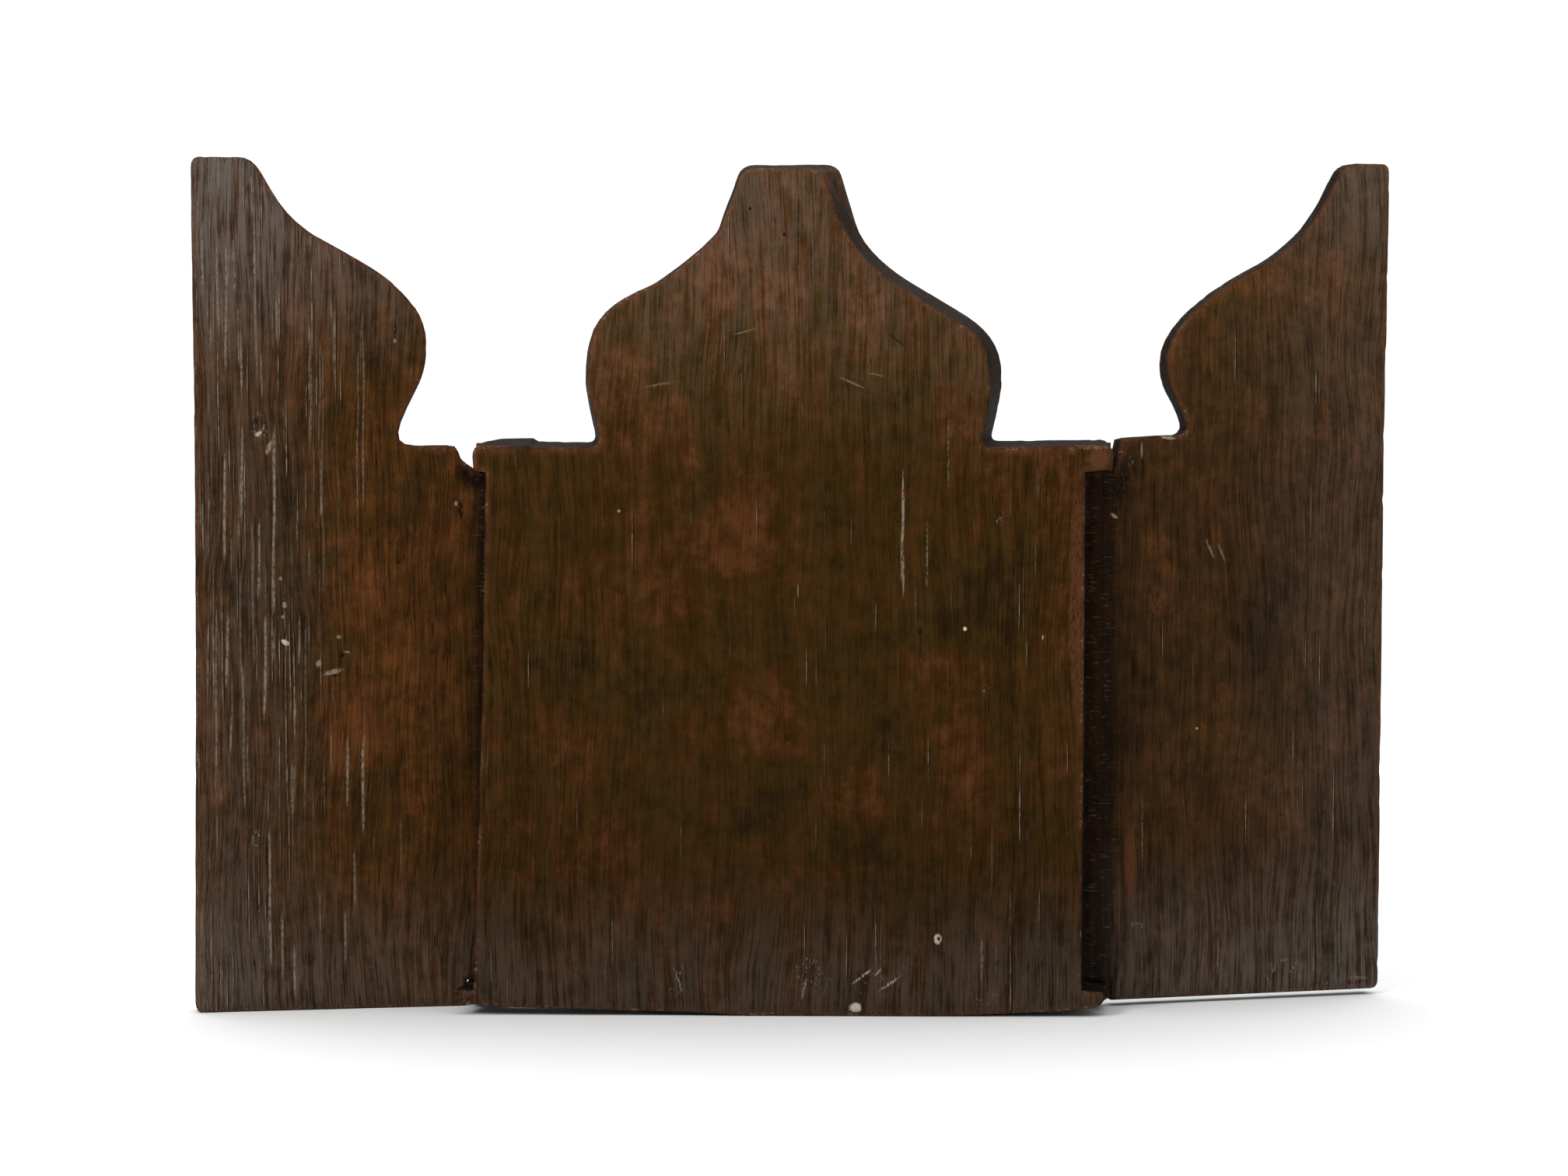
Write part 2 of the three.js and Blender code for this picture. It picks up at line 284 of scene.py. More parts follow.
def wear(board, seed, fibre, grooves, dents):
    """Cuts the relief of old hand-worked wood into a sliced board, always inwards.

    The faces get fibres, plane marks, open grain and dents, the sides get tool marks, and the
    rims get nicks. What the board rests on stays flat.
    """
    points, normals = board.points(), board.normals()
    s, v, w = board.local(points)
    facing = -(normals @ np.array(board.away))
    back, front = facing > 0.5, facing < -0.5
    distance = rim_distance(points, facing)
    rim = np.exp(-distance / RIM_WEAR_WIDTH)
    other_wood = s + np.where(front, 57.3, 0.0)
    fine = upright_fibres(other_wood, v, 1.5, 38, seed)
    broad = upright_fibres(other_wood, v, 4.2, 75, seed + 2)
    planed = soft_noise(other_wood / 26, v / 60, seed + 4)
    swell = soft_noise(other_wood / 48, v / 70, seed + 5)
    fibres = FINE_FIBRE * fine**2 + BROAD_FIBRE * broad**2
    flat = fibre * fibres + PLANE_MARKS * planed + SWELL * swell
    cut = groove_depths(s, v, grooves) * back
    flat += OPEN_GRAIN * cut + dent_depth(s, v, dents) * back
    rough = soft_noise((s + v) / 3.1, w / 2.6, seed + 6) ** 2
    chopped = soft_noise((s + v) / 7.5, w / 9.0 + s / 11, seed + 7)
    wall = TOOL_MARKS * (0.5 * rough + chopped)
    blend = smoothstep(0.2, 0.9, np.abs(facing))
    depth = wall * (1 - blend) + flat * blend
    nicks = soft_noise((s - v) / 4.5, (s + v) / 5.5, seed + 8)
    depth += RIM_NICKS * rim * smoothstep(0.62, 0.95, nicks)
    depth += RIM_WAVES * rim * soft_noise(s / 15, v / 15, seed + 9)
    resting = smoothstep(0.6, 0.9, -normals[:, 2])
    depth = np.clip(depth, 0, DEEPEST_CUT) * (1 - 0.95 * resting)
    board.write(points - normals * (depth * MM)[:, None])
    board.paint("rim", np.exp(-distance / RIM_PAINT_WIDTH))
    board.paint("open_grain", cut)
    board.paint("side_wall", 1 - smoothstep(0.1, 0.75, np.abs(facing)))
    only(board.piece)
    bpy.ops.object.shade_smooth_by_angle(angle=SHARP_CORNER)


# ------------------------------------------------------------------ building shader nodes


def node(tree, kind, inputs=None, **settings):
    """Adds a node. Inputs go by name or number, and are plain values or other nodes' outputs."""
    made = tree.nodes.new(kind)
    for key, value in settings.items():
        setattr(made, key, value)
    for socket, value in (inputs or {}).items():
        if isinstance(value, bpy.types.NodeSocket):
            tree.links.new(value, made.inputs[socket])
        else:
            made.inputs[socket].default_value = value
    return made


def maths(tree, operation, a, b=0.0, clamp=False):
    made = node(tree, "ShaderNodeMath", {0: a, 1: b}, operation=operation, use_clamp=clamp)
    return made.outputs[0]


def vector_maths(tree, operation, a, b=(0, 0, 0)):
    return node(tree, "ShaderNodeVectorMath", {0: a, 1: b}, operation=operation)


def swing(tree, value, gain):
    """A value around 0.5 made into one around 0."""
    return maths(tree, "MULTIPLY", maths(tree, "SUBTRACT", value, 0.5), gain)


def ramp(tree, value, low, high, to_low=0.0, to_high=1.0):
    """A soft step of a value between two limits."""
    inputs = {"Value": value, "From Min": low, "From Max": high}
    inputs |= {"To Min": to_low, "To Max": to_high}
    made = node(tree, "ShaderNodeMapRange", inputs, interpolation_type="SMOOTHSTEP")
    return made.outputs["Result"]


def noise(tree, vector, scale, detail=3.0, roughness=0.55):
    inputs = {"Vector": vector, "Scale": scale, "Detail": detail, "Roughness": roughness}
    return node(tree, "ShaderNodeTexNoise", inputs).outputs[0]


def stretched(tree, vector, factors, shift=(0, 0, 0)):
    inputs = {0: vector, 1: factors, 2: shift}
    return node(tree, "ShaderNodeVectorMath", inputs, operation="MULTIPLY_ADD").outputs[0]


def mixed(tree, factor, a, b):
    """A mix of two colours. They are inputs 6 and 7 of a mix node, and its output 2."""
    return node(tree, "ShaderNodeMix", {0: factor, 6: a, 7: b}, data_type="RGBA").outputs[2]


def brightened(tree, colour, factor):
    made = node(tree, "ShaderNodeVectorMath", {0: colour, "Scale": factor}, operation="SCALE")
    return made.outputs[0]


def attribute(tree, name):
    return node(tree, "ShaderNodeAttribute", attribute_name=name).outputs["Fac"]


def shared_effect(name, inputs, outputs):
    """A new node group. Each input is (name, kind, value) and each output (name, kind)."""
    tree = bpy.data.node_groups.new(name, "ShaderNodeTree")
    for title, kind, value in inputs:
        socket = tree.interface.new_socket(title, in_out="INPUT", socket_type=kind)
        if value is not None:
            socket.default_value = value
    for title, kind in outputs:
        tree.interface.new_socket(title, in_out="OUTPUT", socket_type=kind)
    return tree, tree.nodes.new("NodeGroupInput").outputs, tree.nodes.new("NodeGroupOutput").inputs


def placed(tree, group, inputs):
    """Puts a shared effect into a material and gives back its outputs."""
    return node(tree, "ShaderNodeGroup", inputs, node_tree=group).outputs


# ------------------------------------------------------------------ shared effects

FLOAT, VECTOR = "NodeSocketFloat", "NodeSocketVector"


def upright_grain_effect():
    """Fine upright lines of old ring-porous wood: even lines, dark pores and their height."""
    outputs = [("Lines", FLOAT), ("Pores", FLOAT), ("Height", FLOAT)]
    tree, given, result = shared_effect("upright grain", [("Place", VECTOR, None)], outputs)
    drift = noise(tree, stretched(tree, given["Place"], (0.02, 0.012, 0.02)), 1.0, 1.0)
    sideways = node(tree, "ShaderNodeCombineXYZ", {0: swing(tree, drift, 12.0)}).outputs[0]
    place = vector_maths(tree, "ADD", given["Place"], sideways).outputs[0]
    fine = noise(tree, stretched(tree, place, (1.5, 0.045, 1.5)), 1.0, 3.0, 0.72)
    broad = noise(tree, stretched(tree, place, (0.42, 0.016, 0.42), (31, 7, 3)), 1.0, 2.0, 0.6)
    pores = noise(tree, stretched(tree, place, (1.15, 0.085, 1.15), (5, 11, 17)), 1.0, 3.0, 0.65)
    fine = maths(tree, "MULTIPLY", fine, 0.65)
    lines = maths(tree, "ADD", fine, maths(tree, "MULTIPLY", broad, 0.35))
    pore_mask = ramp(tree, pores, 0.58, 0.68)
    height = maths(tree, "SUBTRACT", lines, maths(tree, "MULTIPLY", pore_mask, 0.35))
    tree.links.new(ramp(tree, lines, 0.36, 0.64), result["Lines"])
    tree.links.new(pore_mask, result["Pores"])
    tree.links.new(height, result["Height"])
    return tree


def pale_streaks_effect():
    """Thin whitish dashes where the grain has opened, partly painted highlight, each with a dark
    line beside it, partly grime and partly painted groove shadow.
    """
    inputs = [("Place", VECTOR, None), ("Where", FLOAT, 1.0)]
    tree, given, result = shared_effect("pale streaks", inputs, [("Pale", FLOAT), ("Dark", FLOAT)])
    place = given["Place"]
    thin = noise(tree, stretched(tree, place, (1.3, 0.019, 1.3), (3, 41, 9)), 1.0, 1.0, 0.5)
    beside = noise(tree, stretched(tree, place, (1.3, 0.019, 1.3), (2.4, 41, 9)), 1.0, 1.0, 0.5)
    broken = noise(tree, stretched(tree, place, (1.2, 0.22, 1.2), (13, 1, 5)), 1.0, 3.0, 0.65)
    crowd = noise(tree, stretched(tree, place, (0.14, 0.012, 0.14), (6, 2, 8)), 1.0, 2.0, 0.5)
    need = ramp(tree, crowd, 0.35, 0.65, 0.69, 0.58)
    need = maths(tree, "ADD", need, ramp(tree, given["Where"], 0.0, 1.0, 0.16, 0.0))
    rise = maths(tree, "MULTIPLY", maths(tree, "SUBTRACT", thin, need), 20.0, clamp=True)
    pale = maths(tree, "MULTIPLY", rise, ramp(tree, broken, 0.38, 0.62, 0.10, 1.0))
    hollow = maths(tree, "MULTIPLY", maths(tree, "SUBTRACT", beside, need), 20.0, clamp=True)
    tree.links.new(pale, result["Pale"])
    tree.links.new(hollow, result["Dark"])
    return tree


def mottled_patina_effect():
    """Blotches of several sizes that hands and smoke leave on dark wood."""
    outputs = [("Warmth", FLOAT), ("Clouds", FLOAT), ("Flecks", FLOAT)]
    tree, given, result = shared_effect("mottled patina", [("Place", VECTOR, None)], outputs)
    place = given["Place"]
    blotches = noise(tree, stretched(tree, place, (0.05, 0.032, 0.05), (2, 5, 1)), 1.0, 6.0, 0.72)
    banded = noise(tree, stretched(tree, place, (0.13, 0.010, 0.13), (7, 19, 2)), 1.0, 3.0, 0.6)
    blotches = maths(tree, "MULTIPLY", blotches, 0.7)
    warmth = maths(tree, "ADD", blotches, maths(tree, "MULTIPLY", banded, 0.3))
    clouds = noise(tree, stretched(tree, place, (0.17, 0.14, 0.17), (4, 4, 4)), 1.0, 4.0, 0.72)
    flecks = noise(tree, stretched(tree, place, (1.5, 0.55, 1.5), (9, 3, 7)), 1.0, 3.0, 0.7)
    tree.links.new(warmth, result["Warmth"])
    tree.links.new(clouds, result["Clouds"])
    tree.links.new(flecks, result["Flecks"])
    return tree


def mark_effect():
    """One oval mark. Sparseness above 0 leaves only scattered flecks of it."""
    inputs = [
        ("Place", VECTOR, None),
        ("Flecks", FLOAT, 0.5),
        ("At", VECTOR, None),
        ("Half size", VECTOR, None),
        ("Turn", FLOAT, 0.0),
        ("Sparseness", FLOAT, 0.0),
        ("Softness", FLOAT, 0.4),
    ]
    tree, given, result = shared_effect("mark", inputs, [("Mask", FLOAT)])
    rotate = {"Vector": given["Place"], "Center": given["At"], "Angle": given["Turn"]}
    turned = node(tree, "ShaderNodeVectorRotate", rotate, rotation_type="Z_AXIS").outputs[0]
    offset = vector_maths(tree, "SUBTRACT", turned, given["At"]).outputs[0]
    scaled = vector_maths(tree, "DIVIDE", offset, given["Half size"]).outputs[0]
    length = vector_maths(tree, "LENGTH", scaled).outputs["Value"]
    inside = maths(tree, "SUBTRACT", 1.0, length)
    inside = maths(tree, "ADD", inside, swing(tree, given["Flecks"], 0.7))
    above = maths(tree, "SUBTRACT", given["Flecks"], given["Sparseness"])
    value = maths(tree, "MINIMUM", inside, maths(tree, "MULTIPLY", above, 7.0))
    tree.links.new(ramp(tree, value, 0.0, given["Softness"]), result["Mask"])
    return tree


def edge_wear_effect():
    """Where a rim is rubbed through to warmer wood, in uneven stretches, with a bright line on the
    very rim that is partly wear and partly painted highlight.
    """
    inputs = [("Place", VECTOR, None), ("Rim", FLOAT, 0.0)]
    outputs = [("Rubbed", FLOAT), ("Bright", FLOAT)]
    tree, given, result = shared_effect("edge wear", inputs, outputs)
    patchy = noise(tree, given["Place"], 0.07, 3.0, 0.6)
    fine = noise(tree, given["Place"], 0.7, 3.0, 0.65)
    near_rim = ramp(tree, given["Rim"], 0.2, 0.8)
    rubbed = maths(tree, "MULTIPLY", near_rim, ramp(tree, patchy, 0.32, 0.55))
    on_rim = ramp(tree, given["Rim"], 0.72, 0.98)
    bright = maths(tree, "MULTIPLY", on_rim, ramp(tree, fine, 0.52, 0.66))
    bright = maths(tree, "MULTIPLY", bright, ramp(tree, patchy, 0.42, 0.62))
    tree.links.new(rubbed, result["Rubbed"])
    tree.links.new(bright, result["Bright"])
    return tree


GRAIN = upright_grain_effect()
STREAKS = pale_streaks_effect()
PATINA = mottled_patina_effect()
MARK = mark_effect()
EDGE_WEAR = edge_wear_effect()

# ------------------------------------------------------------------ the old wood

# Colours of marks and worn places. COOL is the grey of a scuff, BONE that of chalky filler.
# PALE is also the painted highlight on the streaks.
PALE = (0.26, 0.21, 0.155, 1)
BONE = (0.60, 0.52, 0.40, 1)
RUBBED = (0.110, 0.040, 0.018, 1)
# BRIGHT is rim wear, and partly a painted highlight on the rims.
BRIGHT = (0.30, 0.20, 0.135, 1)
# GREY is a dusty bloom, and also painted sheen at the tops and bottoms of the boards.
GREY = (0.128, 0.114, 0.101, 1)
# GRIME_AND_SHADE is dirt, and also painted shade on the side walls, along the hinges, beside the
# streaks and under the upper lugs.
GRIME_AND_SHADE = (0.006, 0.004, 0.003, 1)
COOL = (0.26, 0.25, 0.25, 1)

MARK_SOFTNESS = 0.45
THROUGH_ALL = 400.0  # mm, a mark's half size along w, which no board reaches


def board_place(tree, board):
    """Object coordinates turned into the board's own s, v and w, in mm."""
    turn = -board.turn
    c, k = math.cos(turn), math.sin(turn)
    x, y = board.origin.to_2d() / -MM
    inputs = {
        "Vector": node(tree, "ShaderNodeTexCoord").outputs["Object"],
        "Location": (x * c - y * k, x * k + y * c, 0),
        "Rotation": (0, 0, turn),
        "Scale": (1 / MM, 1 / MM, 1 / MM),
    }
    turned = node(tree, "ShaderNodeMapping", inputs, vector_type="POINT").outputs[0]
    parts = node(tree, "ShaderNodeSeparateXYZ", {0: turned}).outputs
    swapped = node(tree, "ShaderNodeCombineXYZ", {0: parts[0], 1: parts[2], 2: parts[1]})
    return swapped.outputs[0], parts[0], parts[2], parts[1]


def mark_mask(tree, place, flecks, at, half, turn, sparseness):
    values = {
        "Place": place,
        "Flecks": flecks,
        "At": (at[0], at[1], 0.0),
        "Half size": (half[0], half[1], THROUGH_ALL),
        "Turn": math.radians(turn),
        "Sparseness": sparseness,
        "Softness": MARK_SOFTNESS,
    }
    return placed(tree, MARK, values)["Mask"]


def old_wood(name, board, shades, marks, fields):
    """The aged wood of one board, with its blotches, marks and worn places.

    The shades go from dark to warm, each (position, colour). Each mark is (colour, strength,
    (s, v), (half width, half height), turn in degrees, sparseness). The function fields gives
    the grey bloom, partly dust and partly painted sheen, the brightness, which holds painted
    light, how much open grain there is and how strong its lines are.
    """
    material = bpy.data.materials.new(name)
    material.use_nodes = True
    tree = material.node_tree
    tree.nodes.clear()
    place, s, v, w = board_place(tree, board)
    grain = placed(tree, GRAIN, {"Place": place})
    patina = placed(tree, PATINA, {"Place": place})
    flecks = patina["Flecks"]
    bloom_and_sheen, light, streaky, lines = fields(tree, s, v)

    stained = swing(tree, attribute(tree, "stain"), 1.3)
    mottled = swing(tree, patina["Warmth"], 1.9)
    clouded = swing(tree, patina["Clouds"], 0.9)
    warmth = maths(tree, "ADD", stained, mottled)
    warmth = maths(tree, "ADD", warmth, maths(tree, "ADD", clouded, 0.48))
    tones = node(tree, "ShaderNodeValToRGB", {0: warmth})
    band = tones.color_ramp
    while len(band.elements) < len(shades):
        band.elements.new(0.5)
    for element, (position, shade) in zip(band.elements, shades):
        element.position, element.color = position, (*shade, 1)
    colour = tones.outputs[0]

    contrast = ramp(tree, grain["Lines"], 0.0, 1.0, -0.30, 0.24)
    contrast = maths(tree, "SUBTRACT", contrast, maths(tree, "MULTIPLY", grain["Pores"], 0.34))
    lined = maths(tree, "ADD", maths(tree, "MULTIPLY", contrast, lines), 1.0)
    lined = maths(tree, "MULTIPLY", lined, ramp(tree, patina["Clouds"], 0.3, 0.7, 0.86, 1.14))
    # the brightness from fields holds painted light: lighter towards the top
    colour = brightened(tree, colour, maths(tree, "MULTIPLY", lined, light))

    # grey bloom: partly dust, partly painted sheen at the top and bottom
    veil = ramp(tree, maths(tree, "ADD", grain["Lines"], patina["Clouds"]), 0.55, 1.35, 0.2, 1.3)
    colour = mixed(tree, maths(tree, "MULTIPLY", bloom_and_sheen, veil, clamp=True), colour, GREY)

    side_wall = attribute(tree, "side_wall")
    facing_out = maths(tree, "SUBTRACT", 1.0, side_wall, clamp=True)
    on_back = maths(tree, "MULTIPLY", facing_out, maths(tree, "LESS_THAN", w, 0.0))
    where = maths(tree, "MULTIPLY", streaky, facing_out)
    dashes = placed(tree, STREAKS, {"Place": place, "Where": where})
    opened = ramp(tree, attribute(tree, "open_grain"), 0.22, 0.8, 0.0, 0.85)
    opened = maths(tree, "MULTIPLY", opened, ramp(tree, flecks, 0.36, 0.6, 0.2, 1.0))
    # the dark line beside each streak: partly grime, partly painted groove shadow; the pale dashes
    # are partly painted highlight
    colour = mixed(tree, maths(tree, "MULTIPLY", dashes["Dark"], 0.55), colour, GRIME_AND_SHADE)
    pale = maths(tree, "MAXIMUM", maths(tree, "MULTIPLY", dashes["Pale"], 0.8), opened)
    colour = mixed(tree, pale, colour, PALE)

    bumps = maths(tree, "MULTIPLY", maths(tree, "SUBTRACT", pale, dashes["Dark"]), 0.5)
    for tone, strength, at, half, turn, sparseness in marks:
        mask = mark_mask(tree, place, flecks, at, half, turn, sparseness)
        mask = maths(tree, "MULTIPLY", mask, on_back)
        colour = mixed(tree, maths(tree, "MULTIPLY", mask, strength), colour, tone)

    # painted shade: the side walls are darkened nearly to black; the pale chips on them are wear
    colour = mixed(tree, maths(tree, "MULTIPLY", side_wall, 0.88), colour, GRIME_AND_SHADE)
    chips = maths(tree, "MULTIPLY", ramp(tree, flecks, 0.60, 0.68), side_wall)
    chips = maths(tree, "MULTIPLY", chips, ramp(tree, patina["Warmth"], 0.46, 0.56, 0.05, 0.6))
    colour = mixed(tree, chips, colour, PALE)
    worn = placed(tree, EDGE_WEAR, {"Place": place, "Rim": attribute(tree, "rim")})
    rubbed = maths(tree, "MULTIPLY", worn["Rubbed"], ramp(tree, v, 20.0, 120.0, 0.14, 0.45))
    colour = mixed(tree, rubbed, colour, RUBBED)
    # bright line on the rims: partly wear, partly painted highlight
    colour = mixed(tree, maths(tree, "MULTIPLY", worn["Bright"], 0.42), colour, BRIGHT)

    if board.hinged:  # painted shade: a dark strip along the hinge, where the panel shades the knuckle, with short pale tool ticks across it
        strip = ramp(tree, maths(tree, "ABSOLUTE", s), 8.5, 3.5)
        ticks = noise(tree, stretched(tree, place, (0.22, 1.3, 0.22), (3, 3, 3)), 1.0, 2.0, 0.6)
        colour = mixed(tree, maths(tree, "MULTIPLY", strip, 0.72), colour, GRIME_AND_SHADE)
        ticked = maths(tree, "MULTIPLY", ramp(tree, ticks, 0.60, 0.70), strip)
        colour = mixed(tree, maths(tree, "MULTIPLY", ticked, 0.22), colour, PALE)
        ticks = maths(tree, "MULTIPLY", ticks, strip)
        bumps = maths(tree, "ADD", bumps, maths(tree, "MULTIPLY", ticks, 1.2))

    rough = ramp(tree, flecks, 0.3, 0.7, 0.5, 0.68)
    rough = maths(tree, "SUBTRACT", rough, maths(tree, "MULTIPLY", worn["Rubbed"], 0.1))
    rough = maths(tree, "ADD", rough, maths(tree, "MULTIPLY", pale, 0.2), clamp=True)
    height = maths(tree, "MULTIPLY", grain["Height"], lines)
    height = maths(tree, "ADD", height, maths(tree, "MULTIPLY", flecks, 0.45))
    height = maths(tree, "ADD", height, bumps)
    bump = node(tree, "ShaderNodeBump", {"Height": height, "Strength": 0.8, "Distance": 0.4 * MM})
    surface = {"Base Color": colour, "Roughness": rough, "Specular IOR Level": 0.02}
    surface["Normal"] = bump.outputs[0]
    shader = node(tree, "ShaderNodeBsdfPrincipled", surface)
    output = node(tree, "ShaderNodeOutputMaterial")
    tree.links.new(shader.outputs[0], output.inputs["Surface"])
    return material


def dress(board, body, node_name, material):
    board.piece.data.materials.append(material)
    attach(board.piece, body)
    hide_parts(node_name)


# ------------------------------------------------------------------ the three boards


def central_panel():
    board = Board("central_panel", "panel", None, 0.72)
    scratches = [
        (41.9, 149, 190, 0.45, 1.0),
        (50.2, 150, 176, 0.35, 0.7),
        (57.6, 199, 218, 0.3, 0.5),
    ]
    dents = [
        (25.3, 3.2, 2.3, 1.6, 0, 0.35),
        (54.2, 27.7, 1.3, 1.6, 0, 0.45),
        (10.0, 15.0, 5.0, 4.0, 0, 0.25),
        (27.0, 14.5, 4.5, 1.1, -38, 0.35),
        (37.0, 11.5, 5.5, 1.1, -36, 0.35),
        (-38.0, 13.0, 2.0, 4.0, 0, 0.25),
        (76.9, 176.0, 3.0, 2.0, 0, 0.25),
        (26.0, 224.5, 6.0, 1.4, 14, 0.25),
        (-44.0, 223.5, 5.5, 1.6, -8, 0.25),
        (63.8, 137.3, 1.0, 1.0, 0, 0.3),
        (91.5, 134.0, 0.7, 1.6, 0, 0.3),
    ]
    grooves = scratches + scattered_grooves(26, -100, 100, 11, 0.35)
    wear(board, 100, 0.9, grooves, dents)
    shades = [
        (0.10, (0.0260, 0.0122, 0.0018)),
        (0.36, (0.0400, 0.0186, 0.0018)),
        (0.58, (0.0510, 0.0190, 0.0022)),
        (0.92, (0.0900, 0.0305, 0.0080)),
    ]
    patches = [
        (0.32, (-57, 178), (20, 18), 0),
        (0.50, (-14.5, 169), (15, 22), 0),
        (0.42, (-27, 139), (24, 15), -20),
        (0.50, (-5, 103), (15, 16), 20),
        (0.40, (52, 122), (20, 17), 0),
        (0.45, (20, 84), (26, 15), -25),
        (0.25, (-68, 95), (22, 14), 0),
        (0.35, (-57, 59), (24, 9), 0),
        (0.38, (-19, 39), (32, 9), -4),
        (0.25, (64, 96), (13, 22), 0),
        (0.35, (95, 160), (10, 45), 0),
        (-0.50, (75, 156), (28, 24), 0),
        (-0.42, (38, 180), (22, 17), 0),
        (-0.35, (-80, 128), (24, 15), 0),
        (-0.40, (-46, 117), (20, 11), 10),
        (-0.30, (-2, 134), (9, 11), 0),
        (-0.55, (-5, 74), (50, 12), 34),
        (-0.45, (12, 58), (42, 13), 5),
        (-0.35, (42, 140), (17, 13), 0),
        (-0.32, (-85, 28), (26, 15), 0),
        (-0.25, (-96, 72), (13, 32), 0),
        (-0.25, (76, 50), (27, 32), 0),
        (-0.25, (36, 225), (18, 14), 0),
        (-0.22, (-36, 228), (12, 14), 0),
        (0.30, (0, 262), (40, 22), 0),
        (0.30, (-56, 215), (14, 22), 0),
        (0.30, (60, 214), (14, 20), 0),
    ]
    marks = [
        (BONE, 0.85, (25.3, 3.2), (2.7, 2.0), 0, 0.0),
        (GRIME_AND_SHADE, 0.8, (27.6, 3.4), (0.8, 1.4), 0, 0.0),
        (BONE, 0.7, (54.2, 27.7), (1.7, 2.2), 0, 0.0),
        (GRIME_AND_SHADE, 0.95, (54.6, 27.8), (0.7, 1.0), 0, 0.0),
        (COOL, 0.70, (8.5, 16.0), (5.5, 6.5), 0, 0.59),
        (COOL, 0.60, (13.5, 11.5), (4.0, 4.0), 0, 0.60),
        (COOL, 0.50, (7.0, 10.0), (0.5, 4.5), 12, 0.44),
        (COOL, 0.45, (34.0, 14.0), (12.0, 5.0), -30, 0.61),
        (BONE, 0.50, (27.4, 14.2), (5.0, 0.5), -38, 0.45),
        (BONE, 0.55, (37.4, 11.8), (5.8, 0.55), -34, 0.46),
        (BONE, 0.35, (33.0, 15.6), (2.4, 0.4), -50, 0.42),
        (COOL, 0.60, (-38.0, 13.0), (3.0, 6.5), 8, 0.60),
        (COOL, 0.40, (-37.0, 11.0), (0.45, 4.0), -14, 0.44),
        (COOL, 0.45, (70.0, 6.5), (7.5, 2.4), 0, 0.60),
        (PALE, 0.3, (69.8, 21.0), (0.7, 10.0), 0, 0.42),
        (PALE, 0.40, (24.0, 224.0), (6.0, 0.45), 24, 0.40),
        (PALE, 0.30, (32.0, 227.0), (3.4, 0.4), 12, 0.40),
        (PALE, 0.35, (-14.0, 242.0), (5.0, 0.4), -16, 0.42),
        (PALE, 0.35, (-44.0, 223.5), (6.5, 0.5), -10, 0.42),
        (PALE, 0.30, (-47.0, 221.5), (3.0, 1.4), 0, 0.60),
        (GRIME_AND_SHADE, 0.6, (-42.0, 231.0), (3.2, 3.0), 0, 0.57),
        (GRIME_AND_SHADE, 0.6, (31.0, 231.0), (3.0, 2.4), 0, 0.57),
        (COOL, 0.5, (77.0, 176.0), (3.6, 2.8), 0, 0.58),
        (GRIME_AND_SHADE, 0.6, (79.0, 174.5), (2.0, 1.6), 0, 0.54),
        (PALE, 0.35, (70.7, 116.0), (2.4, 2.0), 0, 0.58),
        (BONE, 0.9, (63.6, 137.6), (0.8, 0.9), 0, 0.0),
        (BONE, 0.45, (91.0, 134.6), (0.4, 1.0), 0, 0.0),
        (BONE, 0.4, (-58.3, 179.0), (0.6, 0.7), 0, 0.0),
        (PALE, 0.5, (4.8, 151.0), (0.3, 3.0), 0, 0.0),
        (PALE, 0.75, (41.7, 180.0), (0.5, 15.0), 0, 0.40),
        (PALE, 0.6, (41.9, 157.0), (0.42, 10.0), 0, 0.42),
        (PALE, 0.4, (50.2, 163.0), (0.4, 14.0), 0, 0.44),
        (PALE, 0.35, (57.6, 200.0), (0.4, 17.0), 0, 0.44),
        (GRIME_AND_SHADE, 0.8, (47.8, 136.5), (0.9, 1.4), 0, 0.0),
        (GRIME_AND_SHADE, 0.5, (47.8, 128.0), (0.9, 8.0), 0, 0.42),
        (GRIME_AND_SHADE, 0.8, (4.8, 274.0), (0.3, 18.0), 0, 0.40),
        (GRIME_AND_SHADE, 0.6, (9.4, 268.0), (0.25, 12.0), 0, 0.40),
        (GRIME_AND_SHADE, 0.9, (-12.0, 285.0), (0.7, 0.9), 0, 0.0),
        (GRIME_AND_SHADE, 0.9, (0.0, 276.0), (0.8, 0.8), 0, 0.0),
        (GRIME_AND_SHADE, 0.6, (39.5, 239.0), (4.6, 0.5), 40, 0.0),
        (GRIME_AND_SHADE, 0.5, (-97.5, 68.0), (2.6, 4.0), 0, 0.48),
        (GRIME_AND_SHADE, 0.5, (1.0, 99.0), (1.4, 1.6), 0, 0.44),
        # bright line by the upper right lug: partly wear, partly painted highlight
        (BRIGHT, 0.6, (108.6, 201.6), (6.5, 1.2), 0, 0.46),
        (RUBBED, 0.75, (110.5, 197.5), (4.6, 4.2), 0, 0.30),
        (RUBBED, 0.6, (102.6, 150.0), (2.8, 48.0), 0, 0.42),
    ]

    def fields(tree, s, v):
